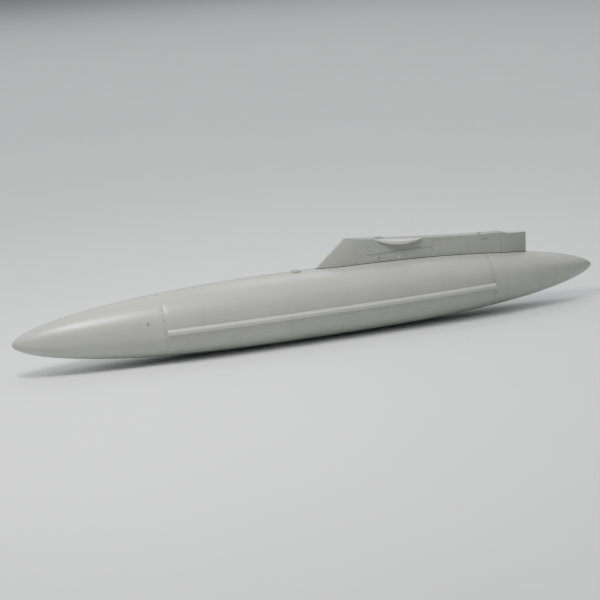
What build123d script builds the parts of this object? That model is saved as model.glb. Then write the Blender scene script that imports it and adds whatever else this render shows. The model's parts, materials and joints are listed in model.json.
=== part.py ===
from build123d import *

import os
from math import atan2, cos, degrees, hypot, radians, sin, sqrt

# An aircraft's underwing fuel tank with the pylon that holds it.
# Stations: X runs aft from the tank's nose tip, Y to the right-hand side and Z up from the
# tank's axis. publish() moves each piece into the object's own frame, whose origin is the top
# centre of the forward attachment on the pylon. Millimetres throughout.

# ---------------------------------------------------------------- driving dimensions
TANK_LENGTH = 5900.0
TANK_RADIUS = 335.0
X_WIDEST = 2744.0
PARALLEL = 100.0
NOSE_POWERS = (2.2, 0.55)
TAIL_POWERS = (2.6, 0.60)
SKIN = 2.5
SEALANT = 0.4
JOINT_GAP = 4.0
END_STEPS = 25
TIP_CUT = 0.5
SEAM_TURN = 125.0

X_NOSE_JOINT = 1386.0
X_TAIL_JOINT = 4708.0
X_TAIL_CAP = 5565.0
X_FRAMES = (1950.0, 3150.0)
X_BAFFLES = (2550.0, 3750.0)
X_AFT_FRAME = 4350.0

STRAKE_PROUD = 28.0
STRAKE_BEVEL_PROUD = 6.0
STRAKE_BOTTOM, STRAKE_BEVEL, STRAKE_TOP = -22.0, 6.0, 26.0

X_FILLER = 2744.0
FILLER_BORE = 32.0
X_EARTHING_STUD, EARTHING_STUD_ANGLE = 1225.0, 22.0
X_DRAIN = 3600.0

LUG_SPACING = 762.0
X_LUG_FWD = 3440.0
X_LUG_AFT = X_LUG_FWD + LUG_SPACING
LUG_BAR_Z = 385.0
LUG_BAR_RADIUS = 9.0
SHAFT_X, SHAFT_Z = 3580.0, 374.0
HOOK_OFFSET_X, HOOK_OFFSET_Z = 32.0, 40.0
LEVER_LENGTH, LEVER_ANGLE = 38.0, 60.0
RUNNING = 0.05

X_FUEL_LINE, FUEL_LINE_RADIUS = 4400.0, 20.0
X_AIR_LINE, AIR_LINE_RADIUS = 4580.0, 10.0
X_CONNECTOR = 4660.0

PYLON_HALF_WIDTH = 47.5
PANEL = 3.0
PYLON_LE_FOOT, PYLON_LE_HEAD = (2931.0, 333.0), (3232.0, 598.0)
PYLON_TOP_FRONT, PYLON_TOP_MIDDLE, PYLON_TOP_BACK = (3237.0, 600.0), (4100.0, 514.0), (4885.0, 466.0)
PYLON_STEP, PYLON_TAIL_TOP = (4964.0, 443.0), (5171.0, 431.0)
X_PYLON_TAPER = 4880.0
PYLON_NOSE_CHORD = 350.0
PANEL_LINE_FOOT, PANEL_LINE_HEAD = (3322.0, 332.0), (3541.0, 555.0)
X_PANEL_LINES = (4150.0, 4500.0)
BEAM_DEPTH = 28.0
SEAL_HEIGHT = 6.5
SEAL_WIDTH = 9.0

DOOR_FRONT, DOOR_BACK, DOOR_TOP = 3456.0, 4129.0, 420.0
DOOR_FOOT_MARGIN = 20.0
DOOR_GAP = 0.75
HINGE_Y, HINGE_Z = PYLON_HALF_WIDTH + 2.0, DOOR_TOP + 1.0
HINGE_RADIUS, HINGE_PIN = 3.2, 1.5
X_LATCH = 3790.0

X_FWD_ATTACH, Z_FWD_ATTACH = 3600.0, 574.0
X_AFT_ATTACH = 4790.0
ATTACH_BORE = 10.0
PAD_FRONT, PAD_WIDEST, PAD_BACK = 3540.0, 3830.0, 4045.0
PAD_HALF_WIDTH = 95.0
PAD_DROOP = 0.30

FAR = 1500.0

os.makedirs("parts", exist_ok=True)


# ---------------------------------------------------------------- helpers
def publish(node, shape):
    """Write one piece in the object's own frame, as parts/node.step."""
    export_step(shape.moved(Location((-X_FWD_ATTACH, 0, -Z_FWD_ATTACH))), f"parts/{node}.step")


def group(solids):
    """Separate solids of one node."""
    return Compound(children=list(solids))


def block(x, y, z):
    """Box between three (low, high) pairs."""
    centre = tuple((low + high) / 2 for low, high in (x, y, z))
    return Pos(*centre) * Box(x[1] - x[0], y[1] - y[0], z[1] - z[0])


def slab(x_low, x_high):
    """Everything between two stations."""
    return block((x_low, x_high), (-FAR, FAR), (-FAR, FAR))


def post(x, y, radius, z):
    """Upright cylinder between z[0] and z[1]."""
    return Pos(x, y, (z[0] + z[1]) / 2) * Cylinder(radius, z[1] - z[0])


def tube(x, y, outer, inner, z):
    """Upright pipe between z[0] and z[1]."""
    return post(x, y, outer, z) - post(x, y, inner, (z[0] - 1, z[1] + 1))


def cross_rod(x, z, radius, y):
    """Cylinder along Y between y[0] and y[1]."""
    return Pos(x, (y[0] + y[1]) / 2, z) * Rot(90, 0, 0) * Cylinder(radius, y[1] - y[0])


def side_prism(outline, y):
    """Prism along Y between y[0] and y[1] on a closed outline of (x, z) corners."""
    edges = Polyline(*[(x, y[0], z) for x, z in outline], close=True)
    return extrude(make_face(edges.edges()), y[1] - y[0], dir=(0, 1, 0))


def polar(radius, angle):
    """(x, z) offset at an angle from +X towards +Z."""
    return radius * cos(radians(angle)), radius * sin(radians(angle))


def mirrored(shape):
    """The right-hand twin of a left-hand piece."""
    return mirror(shape, about=Plane.XZ)


# ---------------------------------------------------------------- the tank's outer shape
def end_radius(x, grow):
    """Radius at a station of the tank's smooth shape, moved outwards by grow."""
    if x < X_WIDEST:
        shoulder, tip, powers = X_WIDEST - PARALLEL, -2 * grow, NOSE_POWERS
    else:
        shoulder, tip, powers = X_WIDEST + PARALLEL, TANK_LENGTH + 2 * grow, TAIL_POWERS
    ratio = max(0.0, (shoulder - x) / (shoulder - tip))
    return (TANK_RADIUS + grow) * max(0.0, 1 - ratio ** powers[0]) ** powers[1]


def end_stations(shoulder, tip):
    """Stations from a tip to its shoulder, closer together towards the tip."""
    turns = [90 * step / END_STEPS for step in range(1, END_STEPS + 1)]
    return [shoulder - (shoulder - tip) * cos(radians(turn)) for turn in turns]


STATIONS = sorted([TIP_CUT, *end_stations(X_WIDEST - PARALLEL, 0),
                   *end_stations(X_WIDEST + PARALLEL, TANK_LENGTH), TANK_LENGTH - TIP_CUT])


def contour(x, grow=0.0):
    """Radius at a station of the tank as made, in short cones between its stations."""
    for low, high in zip(STATIONS, STATIONS[1:]):
        if low <= x <= high:
            share = (x - low) / (high - low)
            return end_radius(low, grow) * (1 - share) + end_radius(high, grow) * share
    return 0.0


def meridian(x, radius):
    """Point at a station and radius in the plane where surfaces of revolution have their seam."""
    return Vector(x, radius * sin(radians(SEAM_TURN)), radius * cos(radians(SEAM_TURN)))


def skin_line(x_low, x_high, grow):
    """Edges along the contour between two stations."""
    between = [x for x in STATIONS if x_low + 1 < x < x_high - 1]
    points = [meridian(x, contour(x, grow)) for x in (x_low, *between, x_high)]
    return [Line(start, stop) for start, stop in zip(points, points[1:])]


def tank_ring(x_low, x_high, outer, inner=None):
    """Solid of revolution between two stations, from one offset of the contour in to another.

    Without an inner offset it is solid to the axis. Each tip ends in a flat a few millimetres wide.
    """
    low, high = max(x_low, TIP_CUT - 2 * outer), min(x_high, TANK_LENGTH + 2 * outer - TIP_CUT)
    outside = skin_line(low, high, outer)
    if inner is None:
        inside = []
        runs = [[outside[-1] @ 1, (high, 0, 0), (low, 0, 0), outside[0] @ 0]]
    else:
        hollow = (max(low, TIP_CUT - 2 * inner), min(high, TANK_LENGTH + 2 * inner - TIP_CUT))
        inside = skin_line(*hollow, inner)
        back = [(high, 0, 0), (hollow[1], 0, 0)] if hollow[1] < high else []
        front = [(hollow[0], 0, 0), (low, 0, 0)] if hollow[0] > low else []
        runs = [[outside[-1] @ 1, *back, inside[-1] @ 1], [inside[0] @ 0, *front, outside[0] @ 0]]
    sides = [Line(start, stop) for run in runs for start, stop in zip(run, run[1:])
             if (Vector(start) - Vector(stop)).length > 0.001]
    return revolve(make_face([*outside, *inside, *sides]), Axis.X)


def tank_body(grow):
    """The tank's middle, where everything is fastened to it, moved outwards by grow."""
    return tank_ring(1300, 5500, grow)


BODY_CLEAR = tank_body(SEALANT)
BODY_SEAL_TOP = tank_body(SEAL_HEIGHT)
BODY_PYLON_FOOT = tank_body(SEAL_HEIGHT + 0.3)
UNDER_SKIN = -SKIN - SEALANT
HALF_GAP = JOINT_GAP / 2


# ---------------------------------------------------------------- tank skins and joints
def joint_screw(x, angle, length):
    """Flush screw, square to the skin, at a station and an angle round the tank."""
    head = Pos(0, 0, -1.5) * Cylinder(6, 2.5)
    shank = Pos(0, 0, -2.75 - length / 2) * Cylinder(3, length)
    seat = Location((x, 0, 0)) * Rot(angle, 0, 0) * Pos(0, 0, contour(x))
    return seat * (head + shank)


def joint_screw_hole(x, angle):
    """Counterbored hole for one joint screw."""
    hole = Pos(0, 0, 0) * Cylinder(6.2, 6) + Cylinder(3.2, 60)
    return Location((x, 0, 0)) * Rot(angle, 0, 0) * Pos(0, 0, contour(x)) * hole


def screw_angles(count):
    """Even angles that miss the equator."""
    return [360 * (index + 0.5) / count for index in range(count)]


NOSE_SCREWS = [(X_NOSE_JOINT - 14, angle) for angle in screw_angles(24)]
TAIL_SCREWS = [(X_TAIL_JOINT + 14, angle) for angle in screw_angles(24)]
CAP_SCREWS = [(X_TAIL_CAP + 14, angle) for angle in screw_angles(12)]


def skin_section(x_low, x_high, screws, holes=()):
    """Length of tank skin with holes for its joint screws, and any others given."""
    skin = tank_ring(x_low, x_high, 0, -SKIN)
    return skin - [*[joint_screw_hole(x, angle) for x, angle in screws], *holes]


def joint_ring(x, screws):
    """Machined ring inside a tank joint: a land under both skins and an inward flange."""
    land = tank_ring(x - 24, x + 24, UNDER_SKIN, UNDER_SKIN - 8)
    flange = tank_ring(x - 3, x + 3, UNDER_SKIN) - slab_core(x, 34)
    return (land + flange) - [joint_screw_hole(sx, angle) for sx, angle in screws]


def slab_core(x, depth):
    """Round hole along the tank's axis that leaves a flange of the given depth."""
    return Pos(x, 0, 0) * Rot(0, 90, 0) * Cylinder(contour(x) - depth, 200)


def ring_frame(x, depth=32.0):
    """Ring frame: a cap strip under the skin and a web."""
    cap = tank_ring(x - 15, x + 15, UNDER_SKIN, UNDER_SKIN - 3)
    web = tank_ring(x - 1.5, x + 1.5, UNDER_SKIN) - slab_core(x, depth)
    return cap + web


def baffle(x, hole_radius=45.0, hole_circle=190.0):
    """Slosh baffle: a ring frame with a full web and round holes that slow the fuel."""
    cap = tank_ring(x - 15, x + 15, UNDER_SKIN, UNDER_SKIN - 3)
    web = tank_ring(x - 1.5, x + 1.5, UNDER_SKIN)
    holes = [Pos(x, 0, 0) * Rot(0, 90, 0) * Cylinder(90, 40)]
    for step in range(6):
        y, z = polar(hole_circle, 60 * step)
        holes.append(Pos(x, y, z) * Rot(0, 90, 0) * Cylinder(hole_radius, 40))
    return cap + (web - holes)


def boss_hole(x, radius, z=(100, 500)):
    """Upright hole through the top of the tank."""
    return post(x, 0, radius, z)


def make_tank_skins():
    stud_hole = earthing_stud_frame() * Cylinder(4.3, 40)
    publish("nose_cone", skin_section(-FAR, X_NOSE_JOINT - HALF_GAP, NOSE_SCREWS, [stud_hole]))
    publish("tail_cone", skin_section(X_TAIL_JOINT + HALF_GAP, X_TAIL_CAP - HALF_GAP, TAIL_SCREWS))
    publish("tail_cap", skin_section(X_TAIL_CAP + HALF_GAP, TANK_LENGTH + FAR, CAP_SCREWS))
    centre = tank_ring(X_NOSE_JOINT + HALF_GAP, X_TAIL_JOINT - HALF_GAP, 0, -SKIN)
    upper = centre & block((0, TANK_LENGTH), (-FAR, FAR), (0.4, FAR))
    lower = centre & block((0, TANK_LENGTH), (-FAR, FAR), (-FAR, -0.4))
    upper -= [boss_hole(X_FILLER, FILLER_BORE + 5), boss_hole(X_LUG_FWD, 26), boss_hole(X_LUG_AFT, 26)]
    upper -= [boss_hole(X_FUEL_LINE, FUEL_LINE_RADIUS + 3), boss_hole(X_AIR_LINE, AIR_LINE_RADIUS + 2)]
    publish("centre_skin_upper", upper)
    publish("centre_skin_lower", lower - post(X_DRAIN, 0, 25, (-500, -100)))
    joints = ((X_NOSE_JOINT, NOSE_SCREWS), (X_TAIL_JOINT, TAIL_SCREWS), (X_TAIL_CAP, CAP_SCREWS))
    publish("joint_rings", group(joint_ring(x, screws) for x, screws in joints))
    screws = NOSE_SCREWS + TAIL_SCREWS + CAP_SCREWS
    publish("tank_joint_screws", group(joint_screw(x, angle, 12) for x, angle in screws))


def make_frames():
    notch = block((0, TANK_LENGTH), (-46, 46), (184, 256))
    frames = [ring_frame(x) for x in X_FRAMES] + [ring_frame(X_AFT_FRAME, depth=70) - notch]
    publish("ring_frames", group(frames))
    publish("slosh_baffles", group([baffle(X_BAFFLES[0]), baffle(X_BAFFLES[1]) - notch]))


# ---------------------------------------------------------------- strakes
def strake_plan(z, proud, steps=12):
    """Face at height z between a line inside the tank and the strake's outer edge."""
    front, back = X_NOSE_JOINT + 8, X_TAIL_JOINT - 3
    stations = [front + (back - front) * step / steps for step in range(steps + 1)]
    outer = Spline(*[(x, -contour(x) - proud, z) for x in stations])
    inner = Polyline(outer @ 0, (front, -200, z), (back, -200, z), outer @ 1)
    return make_face([outer, *inner.edges()])


def strake():
    """Rail along the tank's left side over the seam of its two half skins."""
    rail = loft([strake_plan(STRAKE_BOTTOM, STRAKE_PROUD), strake_plan(STRAKE_BEVEL, STRAKE_PROUD)],
                ruled=True)
    bevel = loft([strake_plan(STRAKE_BEVEL, STRAKE_PROUD), strake_plan(STRAKE_TOP, STRAKE_BEVEL_PROUD)],
                 ruled=True)
    return rail + bevel - BODY_CLEAR


def make_strakes():
    left = strake()
    publish("strake_left", left)
    publish("strake_right", mirrored(left))


# ---------------------------------------------------------------- tank fittings
def make_filler():
    top = TANK_RADIUS + 4
    neck = post(X_FILLER, 0, 50, (TANK_RADIUS - 12, top)) - BODY_CLEAR
    neck += post(X_FILLER, 0, FILLER_BORE + 4, (285, top))
    publish("filler_neck", neck - post(X_FILLER, 0, FILLER_BORE, (200, 400)))
    seal_groove = tube(X_FILLER, 0, 39.5, 35.5, (top, top + 2))
    cap = post(X_FILLER, 0, FILLER_BORE - 0.5, (top - 22, top)) + post(X_FILLER, 0, 43, (top + 0.4, top + 8))
    cap += post(X_FILLER, 0, 20, (top - 2, top + 2))
    cap -= seal_groove
    for step in range(24):
        x, y = polar(44.5, 15 * step)
        cap -= post(X_FILLER + x, y, 3, (top, top + 9))
    cap -= block((X_FILLER - 30, X_FILLER + 30), (-10, 10), (top + 4, top + 10))
    ears = block((X_FILLER - 26, X_FILLER - 18), (-14, 14), (top + 3, top + 8))
    publish("filler_cap", cap - cross_rod(X_FILLER - 22, top + 6, 1.55, (-20, 20)))
    lever = block((X_FILLER - 22, X_FILLER + 26), (-8, 8), (top + 4.4, top + 7.6))
    lever += cross_rod(X_FILLER - 22, top + 6, 1.5, (-13.5, 13.5))
    lever += cross_rod(X_FILLER - 22, top + 6, 1.6, (-8, 8))
    lever -= block((X_FILLER - 6, X_FILLER + 18), (-4, 4), (top, top + 10))
    publish("filler_lever", lever)
    publish("filler_seal", tube(X_FILLER, 0, 39.4, 35.6, (top + 0.05, top + 1.95)))


def earthing_stud_frame():
    """Frame on the skin of the nose cone at the earthing stud, Z square to the skin."""
    slope = (contour(X_EARTHING_STUD + 1) - contour(X_EARTHING_STUD - 1)) / 2
    return (Location((X_EARTHING_STUD, 0, 0)) * Rot(90 - EARTHING_STUD_ANGLE, 0, 0)
            * Pos(0, 0, contour(X_EARTHING_STUD)) * Rot(0, -degrees(atan2(slope, 1)), 0))


def make_earthing_stud():
    stud = Pos(0, 0, 4.3) * Cylinder(12.5, 7.6) + Pos(0, 0, -6) * Cylinder(4, 14)
    stud -= Pos(0, 0, 7) * Cylinder(5, 8)
    publish("earthing_stud", earthing_stud_frame() * stud)


def lug(x):
    """Suspension lug: a threaded shank, a collar on the skin and an eye for a hook."""
    skin_top = contour(x)
    collar = post(x, 0, 24, (skin_top - 2, skin_top + 8))
    shank = post(x, 0, 16, (200, skin_top))
    eye = block((x - 9, x + 9), (-22, 22), (skin_top, LUG_BAR_Z))
    eye += cross_rod(x, LUG_BAR_Z, LUG_BAR_RADIUS, (-22, 22))
    eye -= block((x - 20, x + 20), (-14, 14), (skin_top + 16, LUG_BAR_Z + 20))
    return collar + shank + eye + cross_rod(x, LUG_BAR_Z, LUG_BAR_RADIUS, (-22, 22))


def make_strongback():
    beam = block((3300, 4500), (-45, 45), (185, 255))
    for side in (-1, 1):
        pocket = sorted((side * 8, side * 60))
        beam -= block((3290, 4510), pocket, (195, 245))
    for x in (X_LUG_FWD, X_LUG_AFT):
        beam += post(x, 0, 30, (185, contour(x, -SKIN) - 3))
        beam -= post(x, 0, 16, (199, 400))
    beam += post(X_FUEL_LINE, 0, 30, (185, 255))
    publish("strongback", beam - post(X_FUEL_LINE, 0, FUEL_LINE_RADIUS + 1, (100, 300)))
    publish("suspension_lugs", group([lug(X_LUG_FWD), lug(X_LUG_AFT)]))


def make_tank_systems():
    skin_z = contour(X_FUEL_LINE)
    pickup = tube(X_FUEL_LINE, 0, 34, 31, (-272, -222)) + tube(X_FUEL_LINE, 0, 34, 19, (-222, -218))
    for step in range(6):
        pickup -= Pos(X_FUEL_LINE, 0, -246) * Rot(0, 0, 30 * step) * Box(90, 6, 34)
    pickup += tube(X_FUEL_LINE, 0, FUEL_LINE_RADIUS, 18, (-262, skin_z + 26))
    publish("fuel_pickup_pipe", pickup)
    air_skin = contour(X_AIR_LINE)
    publish("air_pipe", tube(X_AIR_LINE, 0, AIR_LINE_RADIUS, 8, (150, air_skin + 26)))
    probe = tube(3650, 0, 15, 13, (-300, 179)) + post(3650, 0, 7, (-296, 179))
    probe += post(3650, 0, 24, (179, 185))
    publish("fuel_probe", probe)
    hinge_x, hinge_z = 3312.0, 160.0
    valve = block((3304, 3360), (-22, 22), (140, 185)) - block((3290, 3322), (-12, 12), (130, 172))
    publish("vent_valve_body", valve - cross_rod(hinge_x, hinge_z, 3.06, (-30, 30)))
    dx, dz = polar(130, 230)
    arm_end = (hinge_x + dx, hinge_z + dz)
    arm = cross_rod(hinge_x, hinge_z, 8, (-9, 9)) + cross_rod(hinge_x, hinge_z, 3, (-21, 21))
    arm += Pos((hinge_x + arm_end[0]) / 2, 0, (hinge_z + arm_end[1]) / 2) * Rot(0, -50, 0) * Box(130, 8, 5)
    arm += Pos(arm_end[0], 0, arm_end[1]) * Sphere(30)
    publish("vent_float", arm)


def make_drain():
    foot = -contour(X_DRAIN)
    body = post(X_DRAIN, 0, 36, (foot - 4, foot + 14)) - BODY_CLEAR
    body += post(X_DRAIN, 0, 24, (foot - 3, foot + 44))
    body -= post(X_DRAIN, 0, 17, (foot + 6, foot + 40))
    body -= post(X_DRAIN, 0, 9, (foot - 10, foot + 10))
    for step in range(4):
        body -= Pos(X_DRAIN, 0, foot + 26) * Rot(0, 90, 90 * step + 45) * Cylinder(5, 80)
    publish("drain_body", body)
    poppet = post(X_DRAIN, 0, 9 - RUNNING, (foot - 3.5, foot + 7)) + post(X_DRAIN, 0, 14, (foot + 6.2, foot + 12))
    slot = block((X_DRAIN - 6, X_DRAIN + 6), (-1, 1), (foot - 5, foot))
    publish("drain_poppet", poppet - slot)
    coils, wire, spring_radius = 4.5, 1.0, 10.0
    height = 28 - 2 * wire - 0.2
    path = Helix(height / coils, height, spring_radius)
    section = Plane(path @ 0, z_dir=path % 0) * Circle(wire)
    spring = sweep(section, path, is_frenet=True)
    publish("drain_spring", Pos(X_DRAIN, 0, foot + 12 + wire + 0.1) * spring)


# ---------------------------------------------------------------- the pylon's outer shape
def top_arc_height(x):
    """Height of the pylon's concave top edge at a station."""
    centre_x, centre_z, radius = 5811.6, 22062.7, 21616.6
    return centre_z - sqrt(radius ** 2 - (x - centre_x) ** 2)


def leading_edge_x(z):
    (x0, z0), (x1, z1) = PYLON_LE_FOOT, PYLON_LE_HEAD
    return x0 + (z - z0) * (x1 - x0) / (z1 - z0)


def panel_line_x(z):
    (x0, z0), (x1, z1) = PANEL_LINE_FOOT, PANEL_LINE_HEAD
    return x0 + (z - z0) * (x1 - x0) / (z1 - z0)


def pylon_side_face():
    """The pylon's outline from the side, taken down into the tank."""
    floor = 150.0
    corners = [(PYLON_TOP_BACK[0], 0, PYLON_TOP_BACK[1]), (PYLON_STEP[0], 0, PYLON_STEP[1]),
               (PYLON_TAIL_TOP[0], 0, PYLON_TAIL_TOP[1]), (PYLON_TAIL_TOP[0], 0, floor),
               (leading_edge_x(floor), 0, floor), (PYLON_TOP_FRONT[0], 0, PYLON_TOP_FRONT[1])]
    top = ThreePointArc(corners[-1], (PYLON_TOP_MIDDLE[0], 0, PYLON_TOP_MIDDLE[1]), corners[0])
    return make_face([top, *Polyline(*corners).edges()])


SIDE_FACE = pylon_side_face()


def through(face, half_width=200.0):
    """Prism on a side face, across the pylon."""
    return extrude(face, half_width, dir=(0, 1, 0), both=True)


def nose_plan(inset, z=100.0):
    """Plan of the pylon's nose: a sharp lens running aft to full width."""
    half, start = PYLON_HALF_WIDTH - inset, leading_edge_x(z) + 3.2 * inset
    full = start + PYLON_NOSE_CHORD
    bow = [(start, 0, z), (start + 45, 0.36 * half, z), (start + 150, 0.78 * half, z), (full, half, z)]
    left = [(x, -y, z) for x, y, _ in bow]
    back = start + 1100
    edges = [Spline(*bow, tangents=[(1, 0.75, 0), (1, 0, 0)]),
             Spline(*left, tangents=[(1, -0.75, 0), (1, 0, 0)]),
             *Polyline((full, half, z), (back, half, z), (back, -half, z), (full, -half, z)).edges()]
    return make_face(edges)


def tail_plan(inset, z=100.0):
    """Plan of the pylon behind the panel line: parallel sides and a thin trailing edge."""
    half, end = PYLON_HALF_WIDTH - inset, PYLON_TAIL_TOP[0] - 3 * inset
    run = [(X_PYLON_TAPER, half, z), ((X_PYLON_TAPER + end) / 2, 0.66 * half, z), (end, 3, z)]
    left = [(x, -y, z) for x, y, _ in run]
    edges = [Spline(*run, tangents=[(1, 0, 0), (1, -0.25, 0)]),
             Spline(*left, tangents=[(1, 0, 0), (1, 0.25, 0)]),
             Line((end, 3, z), (end, -3, z)),
             *Polyline((X_PYLON_TAPER, half, z), (3000, half, z), (3000, -half, z),
                       (X_PYLON_TAPER, -half, z)).edges()]
    return make_face(edges)


def nose_block(inset):
    """The pylon ahead of the inclined panel line, with every wall moved inwards by inset."""
    lean = (leading_edge_x(600) - leading_edge_x(100)) / 500
    swept = extrude(nose_plan(inset), 600 * sqrt(1 + lean ** 2), dir=(lean, 0, 1))
    return swept & through(SIDE_FACE.moved(Location((0, 0, -inset))))


def tail_block(inset):
    """The pylon behind the inclined panel line, with every wall moved inwards by inset."""
    return extrude(tail_plan(inset), 600, dir=(0, 0, 1)) & through(SIDE_FACE.moved(Location((0, 0, -inset))))


def behind_line(offset):
    """Everything aft of the inclined panel line moved aft by offset."""
    outline = [(panel_line_x(0) + offset, 0), (panel_line_x(900) + offset, 900), (6000, 900), (6000, 0)]
    return side_prism(outline, (-300, 300))


NOSE_BLOCK = nose_block(0) - behind_line(-DOOR_GAP)
TAIL_BLOCK = tail_block(0) & behind_line(DOOR_GAP)
TAIL_INSIDE = tail_block(PANEL)
BEAM_FLOOR = through(SIDE_FACE.moved(Location((0, 0, -BEAM_DEPTH))))


# ---------------------------------------------------------------- pylon structure
def make_pylon_ends():
    fairing = NOSE_BLOCK - nose_block(PANEL) - BODY_PYLON_FOOT
    publish("pylon_nose_fairing", fairing)
    tail = (TAIL_BLOCK & slab(X_PYLON_TAPER + DOOR_GAP, 6000)) - TAIL_INSIDE - BODY_PYLON_FOOT
    publish("pylon_tail_fairing", tail)
    ring = (nose_block(0) - behind_line(0)) - nose_block(SEAL_WIDTH)
    aft_ring = (tail_block(0) & behind_line(0)) - tail_block(SEAL_WIDTH)
    publish("base_seal", (ring + aft_ring) & (BODY_SEAL_TOP - BODY_CLEAR))


def door_outline(gap):
    """Corners of the access door, drawn in by gap."""
    foot = [(x, contour(x) + DOOR_FOOT_MARGIN + gap) for x in (DOOR_FRONT, DOOR_BACK)]
    return [(DOOR_FRONT + gap, foot[0][1]), (DOOR_FRONT + gap, DOOR_TOP - gap),
            (DOOR_BACK - gap, DOOR_TOP - gap), (DOOR_BACK - gap, foot[1][1])]


def service_outline(gap):
    """Corners of the service panel between the two upright panel lines, drawn in by gap."""
    front, back = X_PANEL_LINES[0] + gap, X_PANEL_LINES[1] - gap
    head = [top_arc_height(x) - BEAM_DEPTH - gap for x in (front, back)]
    foot = [contour(x) + DOOR_FOOT_MARGIN + gap for x in (front, back)]
    return [(front, foot[0]), (front, head[0]), (back, head[1]), (back, foot[1])]


def hinge_segments(parity):
    """(low, high) stations of every other knuckle of the door's piano hinge."""
    count = 9
    pitch = (DOOR_BACK - DOOR_FRONT - 8) / count
    start = DOOR_FRONT + 4
    return [(start + pitch * index + 0.4, start + pitch * (index + 1) - 0.4)
            for index in range(count) if index % 2 == parity]


def along_x(y, z, radius, x):
    """Cylinder along X between x[0] and x[1]."""
    return Pos((x[0] + x[1]) / 2, y, z) * Rot(0, 90, 0) * Cylinder(radius, x[1] - x[0])


def knuckles(parity, leaf_z):
    """Left-hand knuckles with the leaf that joins each of them to its panel."""
    solid = Part()
    for x in hinge_segments(parity):
        leaf = block(x, (-HINGE_Y - 0.6, -PYLON_HALF_WIDTH + 1), leaf_z)
        solid += along_x(-HINGE_Y, HINGE_Z, HINGE_RADIUS, x) + leaf
    return solid


def knuckle_room(parity):
    """Room round the other panel's knuckles."""
    return [along_x(-HINGE_Y, HINGE_Z, HINGE_RADIUS + 0.5, (x[0] - 0.4, x[1] + 0.4))
            for x in hinge_segments(parity)]


HINGE_BORE = along_x(-HINGE_Y, HINGE_Z, HINGE_PIN + 0.06, (3400, 4200))
WALL = (-PYLON_HALF_WIDTH, -PYLON_HALF_WIDTH + PANEL)
X_SCREW_COLUMNS = (X_PANEL_LINES[0] + 10, X_PANEL_LINES[1] - 10)


def service_screw_places():
    """(x, z) of the screws along both upright edges of a service panel."""
    places = []
    for x in X_SCREW_COLUMNS:
        low, high = contour(x) + DOOR_FOOT_MARGIN + 12, top_arc_height(x) - BEAM_DEPTH - 12
        places += [(x, low + (high - low) * step / 4) for step in range(5)]
    return places


def pylon_skin():
    """Left side skin with its door and service openings and the sill below the door."""
    wall = TAIL_BLOCK & block((3000, X_PYLON_TAPER - DOOR_GAP), (-60, WALL[1]), (0, 900))
    wall -= side_prism(door_outline(0), (-60, -40))
    wall -= side_prism(service_outline(0), (-60, -40))
    foot = [(x, contour(x) + DOOR_FOOT_MARGIN) for x in (DOOR_FRONT - 6, DOOR_BACK + 6)]
    sill = side_prism([(foot[0][0], foot[0][1] - 9), (foot[0][0], foot[0][1] + 10),
                       (foot[1][0], foot[1][1] + 10), (foot[1][0], foot[1][1] - 9)], (WALL[1], WALL[1] + 2))
    wall += sill
    wall += knuckles(0, (HINGE_Z, HINGE_Z + 9))
    return wall - knuckle_room(1) - HINGE_BORE - BODY_PYLON_FOOT


def access_door():
    """Left access door: the panel, its knuckles and the holes for the latch and the release tool."""
    door = side_prism(door_outline(DOOR_GAP), (WALL[0], WALL[1] - 0.2))
    door += knuckles(1, (HINGE_Z - 9, HINGE_Z))
    door -= knuckle_room(0)
    door -= cross_rod(SHAFT_X, SHAFT_Z, 10, (-60, -40))
    latch_z = latch_height()
    door -= cross_rod(X_LATCH, latch_z, 4 + RUNNING, (-60, -40))
    door -= cross_rod(X_LATCH, latch_z, 9.4, (-60, WALL[0] + 1.4))
    return door - HINGE_BORE


def latch_height():
    return contour(X_LATCH) + DOOR_FOOT_MARGIN + 17


def door_latch():
    """Quarter-turn latch, stored released: its tongue lies along the door."""
    z = latch_height()
    latch = cross_rod(X_LATCH, z, 9, (WALL[0] + 0.2, WALL[0] + 1.3))
    latch += cross_rod(X_LATCH, z, 4, (WALL[0] + 0.5, -39.4))
    latch += block((X_LATCH - 4, X_LATCH + 22), (-42.2, -39.4), (z - 4, z + 4))
    return latch - block((X_LATCH - 7, X_LATCH + 7), (-60, WALL[0] + 0.9), (z - 0.8, z + 0.8))


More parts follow.
